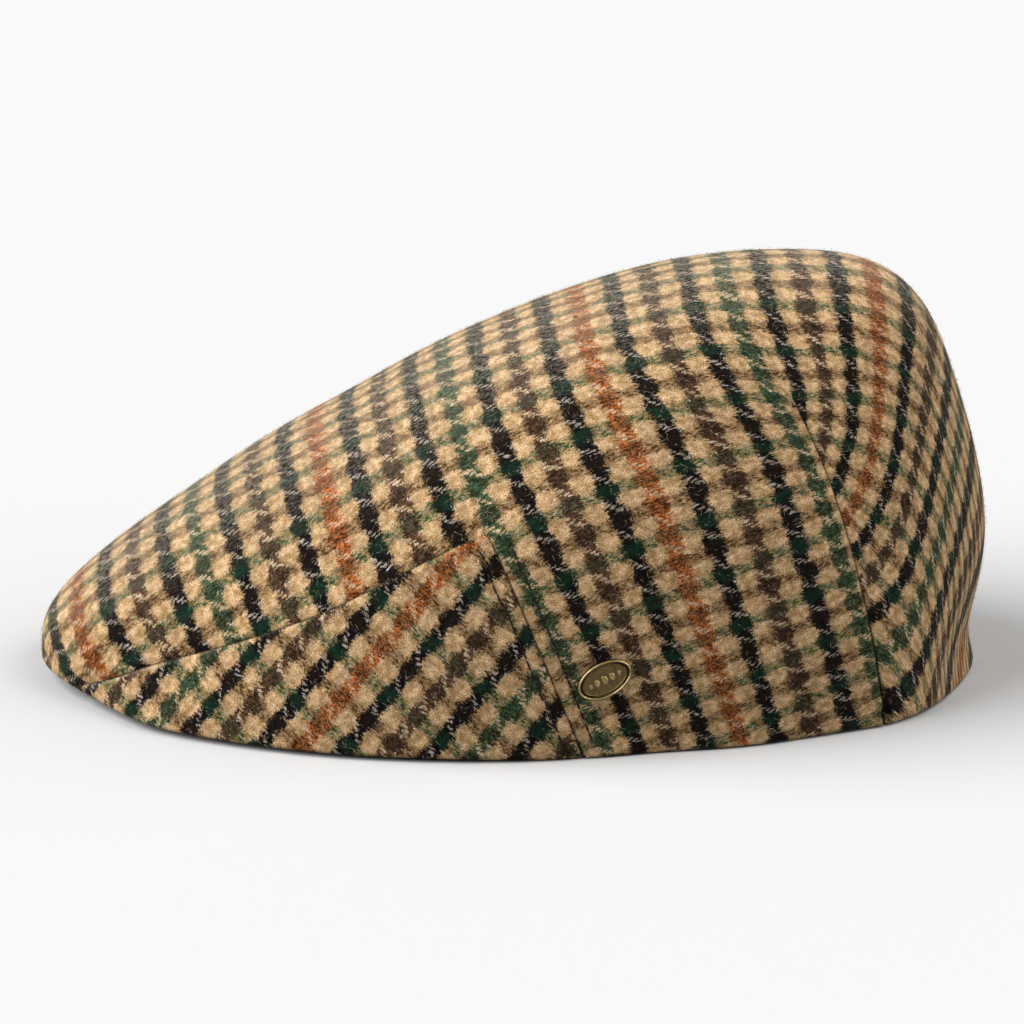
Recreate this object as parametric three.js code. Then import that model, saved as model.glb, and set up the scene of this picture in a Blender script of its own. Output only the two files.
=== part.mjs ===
// Flat cap of checked wool cloth: a one-piece crown with a dart on each side of the back, a three-cornered
// panel on each side of the front, a stiff peak under the front and an oval badge on the wearer's left.
// Millimetres, +Z up. The front is -Y, the wearer's left is +X, and the rim lies on Z = 0.

import * as THREE from 'three';

const { clamp, degToRad, lerp, smoothstep } = THREE.MathUtils;

// Driving sizes of the cloth
const CLOTH = 2.0;            // wall of wool cloth with its backing
const SEAM_GAP = 0.4;         // clearance between two cloth edges that are sewn together
const HEM_HEIGHT = 10;        // height of the crease where the turned-up hem ends
const HEM_SOFTNESS = 5;       // half the height over which that crease is spread
const HEM_TUCK = { side: 0.4, dart: 1.2, back: 2.4 };   // how deep the crease is, round the rim
const PANEL_CORNER = 0.12;    // section number where the side panel's front corner lies

// Driving sizes of the peak
const PEAK_BOARD = 2.6;       // thickness of the covered board
const PEAK_TIP_LIFT = 2.8;    // height of the board's lower face at the tip
const PEAK_LIFT_POWER = 2.2;  // how late the lower face leaves the floor on its way to the tip
const PEAK_ARCH = 9;          // rise of the board from its front edge to the head opening
const PEAK_EDGE_SLANT = 1.1;  // the board's upper edge lies this far inside its lower edge
const PEAK_CLEARANCE = 0.45;  // gap between the board and the cloth in front of it
const PEAK_HORNS = 0.93;      // share of the way to the side seam that the board's horns reach
const HEAD_FRONT_Y = -74;     // front of the head opening, on the middle line
const HEAD_SIDE_Y = 12;       // where the head opening is widest
const HEAD_HALF_WIDTH = 83.5;

// Driving sizes of the badge
const BADGE_LENGTH = 15.6;
const BADGE_WIDTH = 9.8;
const BADGE_TILT = 25;        // the long axis rises towards the back by these degrees
const BADGE_STANDOFF = 0.3;   // gap between the badge's back and the cloth
const BADGE_SECTION = 6.55;
const BADGE_LEVEL = 0.765;

// Sections of the crown from the front edge to the head of the dart, each running from the middle line
// down to the lower edge. reach is how far a section runs level before it turns down to the ridge, the
// ridge is the seam above the side panel or, behind it, the shoulder. panelDrop and wallLean are the
// side's slopes below the ridge and above the edge, in degrees, and sweep says where it bends backwards.
const SECTIONS = table(
  ['midY', 'midZ', 'reach', 'ridgeX', 'ridgeY', 'ridgeZ', 'edgeX', 'edgeY', 'edgeZ', 'panelDrop', 'wallLean',
    'sweep'],
  [
    [-136.4, 4.6, 18, 33.3, -125, 4.2, 33.3, -125, 4.2, 46, -32, 0.45],
    [-134.2, 16, 23, 44, -113, 9.9, 49.5, -112.5, 2.9, 46, -32, 0.45],
    [-118, 31.8, 32, 50.5, -102, 15.9, 61.5, -101.5, 2.3, 45, -32, 0.45],
    [-89, 52.5, 38, 62.5, -76.4, 26.4, 76, -73.5, 1.7, 55, -22, 0.45],
    [-64, 68, 44, 71, -52, 37.7, 84.3, -47, 1.3, 62, -14, 0.42],
    [-40.5, 80.6, 50, 76, -27, 52.2, 88.6, -15, 1, 64, -6, 0.36],
    [-23, 90, 50.5, 76, -9.3, 60.7, 86.5, 16.5, 0, 52, 2, 0.3],
    [0, 100.3, 50, 73.5, 14, 71, 82.2, 39, 0, 52, 4, 0.4],
    [22, 108.4, 47, 68, 35, 80, 78.4, 61.5, 0, 54, 5, 0.5],
    [45, 115, 41, 60, 55, 87, 70, 83, 0, 55, 7, 0.6],
    [66, 119, 32.5, 50, 74, 91, 60.5, 99.3, 0, 56, 11, 0.75],
  ],
);
const SIDE_SEAM = 6;          // the section that carries the seam behind the side panel
const DART = SECTIONS.length - 1;

// The middle line of the back, from the section at the head of the dart down to the rim.
const BACK = table(
  ['midY', 'midZ', 'reach'],
  [
    [66, 119, 32.5],
    [92, 119.4, 32],
    [108, 115, 31],
    [118.6, 103.5, 30],
    [125.4, 86.5, 30],
    [131.4, 68, 30],
    [135.6, 50, 30],
    [136.55, 38, 30],
    [134.4, 25, 30],
    [133, 14, 30],
    [134, 6, 30],
    [134.8, 0, 30.5],
  ],
);

// The badge from its outer edge to its middle: how far each ring lies inside the edge, and how high.
const BADGE_RINGS = table(
  ['inset', 'height'],
  [
    [0, 0],
    [0, 0.9],
    [0.3, 1.25],
    [0.8, 1.25],
    [1.15, 0.8],
    [2.2, 0.8],
    [2.5, 1.0],
    [3.4, 1.05],
  ],
);

// Mesh density
const STEPS_PER_SECTION = 3;
const MID_COLUMNS = 12;       // from the middle line to the ridge
const WALL_LEVELS = 12;       // from the ridge to the rim
const PANEL_STRIDE = 2;       // the side panels use every second wall level
const PEAK_STEPS = 40;
const PEAK_COLUMNS = 4;
const BADGE_SIDES = 36;
const LAST_COLUMN = MID_COLUMNS + WALL_LEVELS;
const SEAM_STEP = SIDE_SEAM * STEPS_PER_SECTION;
const NUDGE = 0.1;            // step in section number or level for a direction along the cloth

// Wall levels run from 0 at the ridge to 1 at the rim and lie closer together near the rim.
const LEVEL_POWER = 1.25;
const LEVELS = Array.from({ length: WALL_LEVELS + 1 }, (_, i) => 1 - (1 - i / WALL_LEVELS) ** LEVEL_POWER);

function table(columns, rows) {
  return rows.map((row) => Object.fromEntries(columns.map((column, i) => [column, row[i]])));
}

// A smooth line through the rows of a table, followed by row number.
function rail(rows, x, y, z) {
  const points = rows.map((row) => new THREE.Vector3(x(row), y(row), z(row)));
  const curve = new THREE.CatmullRomCurve3(points, false, 'centripetal');
  return (number) => curve.getPoint(number / (rows.length - 1));
}

const midRail = rail(SECTIONS, () => 0, (row) => row.midY, (row) => row.midZ);
const ridgeRail = rail(SECTIONS, (row) => row.ridgeX, (row) => row.ridgeY, (row) => row.ridgeZ);
const edgeRail = rail(SECTIONS, (row) => row.edgeX, (row) => row.edgeY, (row) => row.edgeZ);
const slopeRail = rail(SECTIONS, (row) => row.reach, (row) => row.panelDrop, (row) => row.wallLean);
const sweepRail = rail(SECTIONS, (row) => row.sweep, () => 0, () => 0);
const backRail = rail(BACK, (row) => row.reach, (row) => row.midY, (row) => row.midZ);

// The upper half of a section: level from the middle line, then down to the ridge.
function topCurve(section) {
  const mid = midRail(section);
  const shoulder = new THREE.Vector3(slopeRail(section).x, mid.y, mid.z);
  return new THREE.QuadraticBezierCurve3(mid, shoulder, ridgeRail(section));
}

// The lower half of a section: from the ridge over a knee to the edge. Behind the side seam it leaves the
// ridge in line with the upper half, and in front of it at the panel's own slope.
function wallCurve(section) {
  const ridge = ridgeRail(section);
  const edge = edgeRail(section);
  const slopes = slopeRail(section);
  const fall = topCurve(section).getTangent(1);
  const inLine = smoothstep(section, SIDE_SEAM - 1, SIDE_SEAM);
  const drop = lerp(degToRad(slopes.y), Math.atan2(-fall.z, fall.x), inLine);
  const lean = degToRad(slopes.z);
  const across = edge.x - ridge.x;
  const down = ridge.z - edge.z;
  const run = (across * Math.cos(lean) + down * Math.sin(lean)) / Math.cos(drop - lean);
  const knee = new THREE.Vector3(
    ridge.x + run * Math.cos(drop),
    lerp(ridge.y, edge.y, sweepRail(section).x),
    ridge.z - run * Math.sin(drop),
  );
  return new THREE.QuadraticBezierCurve3(ridge, knee, edge);
}

// One row of the back, from the middle line round to the dart.
function backCurve(row) {
  const mid = backRail((row / WALL_LEVELS) * (BACK.length - 1));
  const middle = new THREE.Vector3(0, mid.y, mid.z);
  const dart = wallCurve(DART).getPoint(LEVELS[row]);
  return new THREE.QuadraticBezierCurve3(middle, mid, dart);
}

// Above the rim the cloth is drawn in to the crease of the hem.
function tuckHem(point, outward, depth) {
  const crease = Math.exp(-(((point.z - HEM_HEIGHT) / HEM_SOFTNESS) ** 2));
  point.addScaledVector(outward.setZ(0).normalize(), -depth * crease);
}

function wallPoint(section, level) {
  const point = wallCurve(section).getPoint(level);
  if (section > SIDE_SEAM && level < 1) {
    const ahead = edgeRail(Math.min(section + NUDGE, DART));
    const along = ahead.sub(edgeRail(section - NUDGE));
    const share = clamp((section - SIDE_SEAM) / (DART - SIDE_SEAM), 0, 1);
    tuckHem(point, new THREE.Vector3(along.y, -along.x, 0), lerp(HEM_TUCK.side, HEM_TUCK.dart, share));
  }
  point.z = Math.max(point.z, 0);
  return point;
}

function backPoint(row, across) {
  const curve = backCurve(row);
  const point = curve.getPoint(across);
  if (row < WALL_LEVELS) {
    const along = curve.getTangent(across);
    tuckHem(point, new THREE.Vector3(-along.y, along.x, 0), lerp(HEM_TUCK.back, HEM_TUCK.dart, across));
  }
  return point;
}

// A sheet of cloth or board: its outer face as triangles, and for each point the way to its inner face.
class Sheet {
  constructor() {
    this.points = [];
    this.triangles = [];
    this.inward = new Map();
  }

  add(point) {
    this.points.push(point);
    return this.points.length - 1;
  }

  // Two corners of a face may be one point.
  quad(a, b, c, d) {
    if (a !== b) this.triangles.push([a, b, c]);
    if (c !== d && a !== d) this.triangles.push([a, c, d]);
  }

  normals() {
    const sums = this.points.map(() => new THREE.Vector3());
    for (const corners of this.triangles) {
      const [a, b, c] = corners.map((id) => this.points[id]);
      const face = b.clone().sub(a).cross(c.clone().sub(a));
      corners.forEach((id) => sums[id].add(face));
    }
    return sums.map((sum) => sum.normalize());
  }

  // At a hem the wall is cut level.
  cutLevel(ids, thickness) {
    const normals = this.normals();
    for (const id of ids) this.inward.set(id, normals[id].setZ(0).setLength(thickness));
  }

  solid(thickness) {
    const normals = this.normals();
    const count = this.points.length;
    const inner = this.points.map((point, id) => {
      const way = this.inward.get(id) ?? normals[id].multiplyScalar(thickness);
      return point.clone().sub(way);
    });
    const faces = [];
    const openEdges = new Map();
    for (const [a, b, c] of this.triangles) {
      faces.push(a, b, c, a + count, c + count, b + count);
      for (const [from, to] of [[a, b], [b, c], [c, a]]) {
        const shared = openEdges.delete(`${to} ${from}`);
        if (!shared) openEdges.set(`${from} ${to}`, [from, to]);
      }
    }
    for (const [from, to] of openEdges.values()) {
      faces.push(to, from, from + count, to, from + count, to + count);
    }
    return meshGeometry([...this.points, ...inner], faces);
  }
}

function meshGeometry(points, faces) {
  const geometry = new THREE.BufferGeometry();
  geometry.setFromPoints(points);
  geometry.setIndex(faces);
  return geometry;
}

const mirrored = (point, side) => new THREE.Vector3(point.x * side, point.y, point.z);

// Where a curve ends at a seam, it stops half a seam gap short.
const trimmed = (curve) => 1 - SEAM_GAP / 2 / curve.getLength();

// The change of section number that is half a seam gap along the ridge.
function trimStep(section) {
  return (SEAM_GAP / 2) * (NUDGE / ridgeRail(section).distanceTo(ridgeRail(section - NUDGE)));
}

// Columns of the crown are counted from the middle line, with the ridge at MID_COLUMNS.
function crownPoint(section, column) {
  const top = topCurve(section);
  if (column < MID_COLUMNS) return top.getPoint(column / MID_COLUMNS);
  if (section < SIDE_SEAM) return top.getPoint(trimmed(top));
  const level = LEVELS[column - MID_COLUMNS];
  if (section === SIDE_SEAM) return wallPoint(section + trimStep(section), level);
  if (section === DART && level > 0) return wallPoint(section - trimStep(section), level);
  return wallPoint(section, level);
}

function crownBackPoint(row, column) {
  const across = column < MID_COLUMNS ? column / MID_COLUMNS : trimmed(backCurve(row));
  return backPoint(row, across);
}

// The crown: rows across the cap from the front edge to the head of the dart, and from there down the
// back to the rim. Columns are negative on the wearer's right.
function crownSheet() {
  const sheet = new Sheet();
  const addRow = (reach, pointAt) => {
    const row = new Map();
    for (let column = -reach; column <= reach; column += 1) {
      row.set(column, sheet.add(mirrored(pointAt(Math.abs(column)), Math.sign(column))));
    }
    return row;
  };
  const join = (near, far, reach) => {
    for (let column = -reach; column < reach; column += 1) {
      sheet.quad(near.get(column), near.get(column + 1), far.get(column + 1), far.get(column));
    }
  };

  const rows = [];
  for (let step = 0; step <= DART * STEPS_PER_SECTION; step += 1) {
    const section = step / STEPS_PER_SECTION;
    rows.push(addRow(step < SEAM_STEP ? MID_COLUMNS : LAST_COLUMN, (column) => crownPoint(section, column)));
    if (step > 0) join(rows[step - 1], rows[step], step > SEAM_STEP ? LAST_COLUMN : MID_COLUMNS);
  }
  const backRows = [rows.at(-1)];
  for (let level = 1; level <= WALL_LEVELS; level += 1) {
    backRows.push(addRow(MID_COLUMNS, (column) => crownBackPoint(level, column)));
    join(backRows[level - 1], backRows[level], MID_COLUMNS);
  }
  return { sheet, rows, backRows };
}

// A side panel: columns from the front corner to the side seam, each from the ridge down to the edge.
function panelSheet(side) {
  const sheet = new Sheet();
  const corner = sheet.add(mirrored(wallPoint(PANEL_CORNER, 0.5), side));
  const columns = [Array(WALL_LEVELS / PANEL_STRIDE + 1).fill(corner)];
  for (let step = 1; step <= SEAM_STEP; step += 1) {
    const section = step / STEPS_PER_SECTION - (step === SEAM_STEP ? trimStep(SIDE_SEAM) : 0);
    const top = 1 - trimmed(wallCurve(section));
    const levels = LEVELS.filter((_, i) => i % PANEL_STRIDE === 0);
    columns.push(levels.map((level) => sheet.add(mirrored(wallPoint(section, Math.max(level, top)), side))));
    const [near, far] = side > 0 ? [columns[step - 1], columns[step]] : [columns[step], columns[step - 1]];
    for (let i = 1; i < near.length; i += 1) sheet.quad(near[i - 1], near[i], far[i], far[i - 1]);
  }
  return { sheet, columns };
}

// Two cloth edges that meet at a seam share one way inwards, so their cut faces stay parallel.
function sew(sheetA, idsA, sheetB, idsB) {
  const normalsA = sheetA.normals();
  const normalsB = sheetB.normals();
  idsA.forEach((idA, i) => {
    const a = normalsA[idA];
    const b = normalsB[idsB[i]];
    const way = a.clone().add(b).multiplyScalar(CLOTH / (1 + a.dot(b)));
    sheetA.inward.set(idA, way);
    sheetB.inward.set(idsB[i], way);
  });
}

const crown = crownSheet();
const leftPanel = panelSheet(1);
const rightPanel = panelSheet(-1);

for (const [side, panel] of [[1, leftPanel], [-1, rightPanel]]) {
  const ridgeIds = crown.rows.slice(1, SEAM_STEP + 1).map((row) => row.get(side * MID_COLUMNS));
  const panelTopIds = panel.columns.slice(1).map((column) => column[0]);
  sew(crown.sheet, ridgeIds, panel.sheet, panelTopIds);

  const panelSeamIds = panel.columns.at(-1).slice(1, -1);
  const seamRow = crown.rows[SEAM_STEP];
  const crownSeamIds = panelSeamIds.map((_, i) => seamRow.get(side * (MID_COLUMNS + (i + 1) * PANEL_STRIDE)));
  sew(crown.sheet, crownSeamIds, panel.sheet, panelSeamIds);

  const dartLevels = LEVELS.map((_, level) => level).slice(1, -1);
  const dartFrontIds = dartLevels.map((level) => crown.rows.at(-1).get(side * (MID_COLUMNS + level)));
  const dartBackIds = dartLevels.map((level) => crown.backRows[level].get(side * MID_COLUMNS));
  sew(crown.sheet, dartFrontIds, crown.sheet, dartBackIds);

  panel.sheet.cutLevel(panel.columns.map((column) => column.at(-1)), CLOTH);
}
crown.sheet.cutLevel([
  ...crown.rows[0].values(),
  ...crown.rows.slice(SEAM_STEP).flatMap((row) => [row.get(-LAST_COLUMN), row.get(LAST_COLUMN)]),
  ...crown.backRows.at(-1).values(),
], CLOTH);

// The lower edge of the cloth from the tip of the peak to the side seam.
function lowerEdge() {
  const frontPoints = topCurve(0).getPoints(4).slice(0, -1);
  const sidePoints = [];
  for (let section = 0; section <= SIDE_SEAM; section += 0.5) sidePoints.push(edgeRail(section));
  return new THREE.CatmullRomCurve3([...frontPoints, ...sidePoints], false, 'centripetal');
}

// The peak: a crescent board from just inside the cloth's lower edge back to the head opening, lifted at
// the tip and arched towards the head.
function peakSheet() {
  const sheet = new Sheet();
  const edge = lowerEdge();
  const seamY = SECTIONS[SIDE_SEAM].edgeY;
  const tipY = SECTIONS[0].midY;
  const columns = [];
  for (let step = 0; step <= PEAK_STEPS; step += 1) {
    const turn = ((step / PEAK_STEPS) * 2 - 1) * PEAK_HORNS;
    const side = turn < 0 ? -1 : 1;
    const front = edge.getPointAt(Math.abs(turn));
    const along = edge.getTangentAt(Math.abs(turn)).setZ(0).normalize();
    const inwards = new THREE.Vector3(-along.y, along.x, 0);
    const lift = PEAK_TIP_LIFT * Math.max((seamY - front.y) / (seamY - tipY), 0) ** PEAK_LIFT_POWER;
    front.addScaledVector(inwards, CLOTH + PEAK_CLEARANCE + PEAK_EDGE_SLANT);
    const angle = Math.abs(turn) * (Math.PI / 2);
    const headX = HEAD_HALF_WIDTH * Math.sin(angle);
    const headY = lerp(HEAD_SIDE_Y, HEAD_FRONT_Y, Math.cos(angle));
    const column = [];
    for (let i = 0; i <= PEAK_COLUMNS; i += 1) {
      const share = i / PEAK_COLUMNS;
      const arch = PEAK_ARCH * Math.sin(share * (Math.PI / 2)) * Math.cos(angle) ** 2;
      const x = lerp(front.x, headX, share);
      const y = lerp(front.y, headY, share);
      const id = sheet.add(new THREE.Vector3(x * side, y, lift + arch + PEAK_BOARD));
      const slant = i === 0 ? PEAK_EDGE_SLANT : 0;
      sheet.inward.set(id, new THREE.Vector3(inwards.x * side * slant, inwards.y * slant, PEAK_BOARD));
      column.push(id);
    }
    columns.push(column);
    for (let i = 1; step > 0 && i <= PEAK_COLUMNS; i += 1) {
      const before = columns[step - 1];
      sheet.quad(before[i - 1], column[i - 1], column[i], before[i]);
    }
  }
  return sheet;
}

// The badge: oval rings from its flat back over the raised border to the sunk field and a low inner oval.
function badgeGeometry() {
  const points = [];
  const faces = [];
  for (const { inset, height } of BADGE_RINGS) {
    const outline = new THREE.EllipseCurve(0, 0, BADGE_LENGTH / 2 - inset, BADGE_WIDTH / 2 - inset);
    const ring = outline.getPoints(BADGE_SIDES).slice(0, -1);
    points.push(...ring.map((point) => new THREE.Vector3(point.x, point.y, height)));
  }
  const id = (ring, i) => ring * BADGE_SIDES + (i % BADGE_SIDES);
  const top = BADGE_RINGS.length - 1;
  const backMiddle = points.push(new THREE.Vector3()) - 1;
  const frontMiddle = points.push(new THREE.Vector3(0, 0, BADGE_RINGS[top].height)) - 1;
  for (let i = 0; i < BADGE_SIDES; i += 1) {
    for (let ring = 1; ring <= top; ring += 1) {
      faces.push(id(ring - 1, i), id(ring - 1, i + 1), id(ring, i + 1));
      faces.push(id(ring - 1, i), id(ring, i + 1), id(ring, i));
    }
    faces.push(backMiddle, id(0, i + 1), id(0, i));
    faces.push(frontMiddle, id(top, i), id(top, i + 1));
  }
  return meshGeometry(points, faces);
}

// The badge lies flat on the cloth, with its long axis turned up towards the back.
function placeBadge(mesh) {
  const onCloth = (along, downwards) => wallPoint(BADGE_SECTION + along, BADGE_LEVEL + downwards);
  const back = onCloth(NUDGE, 0).sub(onCloth(-NUDGE, 0));
  const down = onCloth(0, NUDGE).sub(onCloth(0, -NUDGE));
  const normal = down.cross(back).normalize();
  const levelAxis = new THREE.Vector3(-normal.y, normal.x, 0).normalize();
  const longAxis = levelAxis.applyAxisAngle(normal, degToRad(BADGE_TILT));
  const shortAxis = normal.clone().cross(longAxis);
  mesh.quaternion.setFromRotationMatrix(new THREE.Matrix4().makeBasis(longAxis, shortAxis, normal));
  mesh.position.copy(onCloth(0, 0)).addScaledVector(normal, BADGE_STANDOFF);
}

function named(name, geometry, material) {
  const mesh = new THREE.Mesh(geometry, material);
  mesh.name = name;
  return mesh;
}

const crownWool = new THREE.MeshStandardMaterial({ color: 0xb08a5a, roughness: 0.95, metalness: 0 });
const leftBiasWool = new THREE.MeshStandardMaterial({ color: 0xa88456, roughness: 0.95, metalness: 0 });
const rightBiasWool = leftBiasWool.clone();
const coveredBoard = new THREE.MeshStandardMaterial({ color: 0x4a3a2a, roughness: 0.9, metalness: 0 });
const antiqueBrass = new THREE.MeshStandardMaterial({ color: 0xa98f52, roughness: 0.4, metalness: 0.9 });

const badge = named('badge', badgeGeometry(), antiqueBrass);
placeBadge(badge);

const cap = new THREE.Group();
cap.add(
  named('crown', crown.sheet.solid(CLOTH), crownWool),
  named('side_panel_left', leftPanel.sheet.solid(CLOTH), leftBiasWool),
  named('side_panel_right', rightPanel.sheet.solid(CLOTH), rightBiasWool),
  named('peak', peakSheet().solid(PEAK_BOARD), coveredBoard),
  badge,
);

export default cap;
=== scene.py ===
import math
import random

import bmesh
import bpy
from mathutils import Matrix, Vector, noise
from mathutils.bvhtree import BVHTree
from mathutils.kdtree import KDTree


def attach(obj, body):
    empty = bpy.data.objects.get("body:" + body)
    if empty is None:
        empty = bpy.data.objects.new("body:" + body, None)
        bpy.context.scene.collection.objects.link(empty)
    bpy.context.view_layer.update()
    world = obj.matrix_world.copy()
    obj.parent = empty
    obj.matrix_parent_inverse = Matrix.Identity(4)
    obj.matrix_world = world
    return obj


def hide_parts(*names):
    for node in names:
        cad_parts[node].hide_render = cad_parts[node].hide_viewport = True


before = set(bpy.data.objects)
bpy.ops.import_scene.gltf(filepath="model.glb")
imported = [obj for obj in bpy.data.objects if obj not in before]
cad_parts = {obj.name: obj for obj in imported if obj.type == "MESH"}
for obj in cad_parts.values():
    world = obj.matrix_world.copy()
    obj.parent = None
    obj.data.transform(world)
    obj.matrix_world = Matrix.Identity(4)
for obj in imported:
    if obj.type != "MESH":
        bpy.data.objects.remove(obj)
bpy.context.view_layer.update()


# The crown: one piece of brushed wool twill, cut from the front edge of the peak over the top to the back
# rim and steamed to shape on a block. A sewn dart on each side draws in the back, and the rim is hemmed.

MM = 0.001
CLOTH_THICKNESS = 1.8 * MM
EDGE_ROUNDING = 0.5 * MM          # of the cloth's edges
EDGE_CORNER = math.radians(60)    # an edge sharper than this is rounded
SAME_POINT = 0.01 * MM            # points closer than this are one
WALL_CORNER = math.radians(50)    # a wall's outer face ends where it turns by more than this
QUAD_FOLD = math.radians(60)
QUAD_SKEW = math.radians(70)


def select_only(piece):
    bpy.ops.object.select_all(action="DESELECT")
    piece.select_set(True)
    bpy.context.view_layer.objects.active = piece


def copy_of_solid(node, name):
    """A copy of a node's solid as one merged mesh, with no material."""
    select_only(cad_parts[node])
    bpy.ops.object.duplicate()
    copy = bpy.context.object
    copy.name = copy.data.name = name
    for note in list(copy.keys()):
        del copy[note]
    copy.data.materials.clear()
    while copy.data.uv_layers:
        copy.data.uv_layers.remove(copy.data.uv_layers[0])
    bpy.ops.object.mode_set(mode="EDIT")
    bpy.ops.mesh.select_all(action="SELECT")
    bpy.ops.mesh.remove_doubles(threshold=SAME_POINT)
    bpy.ops.object.mode_set(mode="OBJECT")
    return copy


def select_faces(piece, wanted):
    """Goes into edit mode with the faces selected that wanted says yes to."""
    select_only(piece)
    bpy.ops.object.mode_set(mode="EDIT")
    bpy.ops.mesh.select_mode(type="FACE")
    bpy.ops.mesh.select_all(action="DESELECT")
    bm = bmesh.from_edit_mesh(piece.data)
    for face in bm.faces:
        face.select = wanted(face)
    bmesh.update_edit_mesh(piece.data)


def outer_face(node, name, outermost):
    """The outer face of a node's wall, as one skin."""
    skin = copy_of_solid(node, name)
    first = max(skin.data.polygons, key=lambda face: face.center.dot(outermost)).index
    select_faces(skin, lambda face: face.index == first)
    bpy.ops.mesh.faces_select_linked_flat(sharpness=WALL_CORNER)
    bpy.ops.mesh.select_all(action="INVERT")
    bpy.ops.mesh.delete(type="FACE")
    bpy.ops.object.mode_set(mode="OBJECT")
    return skin


def make_quads(piece):
    select_faces(piece, lambda face: True)
    bpy.ops.mesh.tris_convert_to_quads(face_threshold=QUAD_FOLD, shape_threshold=QUAD_SKEW)
    bpy.ops.object.mode_set(mode="OBJECT")


def apply_modifier(piece, kind, **settings):
    select_only(piece)
    modifier = piece.modifiers.new(kind.lower(), kind)
    for setting, value in settings.items():
        setattr(modifier, setting, value)
    bpy.ops.object.modifier_apply(modifier=modifier.name)


def smooth_skin(piece):
    apply_modifier(piece, "SUBSURF", levels=2, render_levels=2, boundary_smooth="PRESERVE_CORNERS")


crown = outer_face("crown", "crown_cloth", Vector((0, 0.1, 1)))
select_faces(crown, lambda face: face.calc_center_median().x < 0)
bpy.ops.mesh.delete(type="FACE")
bpy.ops.object.mode_set(mode="OBJECT")
make_quads(crown)
apply_modifier(crown, "MIRROR", merge_threshold=SAME_POINT)

# The cut of the cloth is its UV map in metres: U runs along the middle line from the front edge, and V
# across, less than zero on the left. The middle line is pinned at its own length. Steaming has eased the
# cloth along U and, behind the darts, turned it. The terms were fitted to the places of the stripes.
DART_HEAD = Vector((50, 74, 91)) * MM
CUT_UNIT = 100 * MM           # the values below take and give lengths in this unit
EASE_MIDDLE = 1.8             # U that the terms ahead of the darts count from
TOP_REACH = (0, 0.7)          # distances from the middle line between which TOP_EASE sets in
SIDE_REACH = (0.3, 1.1)       # and SIDE_EASE
TURN_SOFTNESS = 0.1           # the turn behind the darts sets in softly at the middle line
MIDDLE_EASE = (-0.0047, 0.0102, -0.0118, -0.0046)     # along U, everywhere ahead of the darts' heads
TOP_EASE = (0.0248, -0.0205, -0.1265, -0.0837)        # more of it away from the middle line
SIDE_EASE = (-0.0154, -0.1926, -0.0196, 0.1038)       # and more on the sides
BACK_EASE = (-0.0497, -0.0617)                        # behind the darts' heads, along the middle line
BACK_TURN = ((-0.2886, -0.2018, 0.0561), (-0.0520, 0.1389, 0.0908))   # away from it the cloth is turned
BACK_SPREAD = ((6.953, -13.034, 6.255), (-1.689, 4.084, -2.214))      # and let out across


def smooth_step(value, start, end):
    share = min(max((value - start) / (end - start), 0), 1)
    return share * share * (3 - 2 * share)


def polynomial(terms, x):
    return sum(term * x ** power for power, term in enumerate(terms))


def eased(u, v, head_u, behind):
    """The place in the cut of a point of the flattened cloth."""
    x = min(u, head_u) / CUT_UNIT - EASE_MIDDLE
    side = abs(v) / CUT_UNIT
    shift = polynomial(MIDDLE_EASE, x) + polynomial(TOP_EASE, x) * smooth_step(side, *TOP_REACH)
    shift += polynomial(SIDE_EASE, x) * smooth_step(side, *SIDE_REACH)
    way = max(u - head_u, 0) / CUT_UNIT if behind else 0
    off = math.hypot(side, TURN_SOFTNESS) - TURN_SOFTNESS
    shift += way * way * polynomial(BACK_EASE, way)
    shift += off * way * (polynomial(BACK_TURN[0], off) + way * polynomial(BACK_TURN[1], off))
    let_out = side * way * (polynomial(BACK_SPREAD[0], side) + way * polynomial(BACK_SPREAD[1], side))
    return u + shift * CUT_UNIT, v * (1 + let_out)


def middle_line(bm):
    """The points on the middle line, from the front edge to the back rim."""
    on_line = {vert for vert in bm.verts if abs(vert.co.x) < SAME_POINT}
    line = [min((vert for vert in on_line if vert.is_boundary), key=lambda vert: vert.co.y)]
    while True:
        near = [edge.other_vert(line[-1]) for edge in line[-1].link_edges]
        ahead = [vert for vert in near if vert in on_line and vert not in line]
        if not ahead:
            return line
        line.append(ahead[0])


crown.data.uv_layers.new(name="cut")
select_faces(crown, lambda face: True)
bm = bmesh.from_edit_mesh(crown.data)
cut = bm.loops.layers.uv["cut"]
way = 0.0
line = middle_line(bm)
for before, vert in zip([line[0]] + line, line):
    way += (vert.co - before.co).length
    for loop in vert.link_loops:
        loop[cut].uv = (way, 0)
        loop[cut].pin_uv = True
bmesh.update_edit_mesh(crown.data)
bpy.ops.uv.unwrap(method="ANGLE_BASED", margin=0)

bm = bmesh.from_edit_mesh(crown.data)
cut = bm.loops.layers.uv["cut"]
head = min(bm.verts, key=lambda vert: (vert.co - DART_HEAD).length).link_loops[0][cut].uv.copy()
left_sign = 1 if head.y < 0 else -1
dart = [vert.co for vert in bm.verts
        if vert.is_boundary and vert.co.y > DART_HEAD.y - MM and vert.co.z > MM]
for face in bm.faces:
    centre = face.calc_center_median()
    beside = min(dart, key=lambda point: abs(point.z - centre.z))
    ahead_of_dart = centre.z < DART_HEAD.z and centre.y < beside.y
    for loop in face.loops:
        u, v = eased(*loop[cut].uv, head.x, not ahead_of_dart)
        loop[cut].uv = (u, left_sign * v)
bmesh.update_edit_mesh(crown.data)
bpy.ops.object.mode_set(mode="OBJECT")
smooth_skin(crown)

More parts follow.
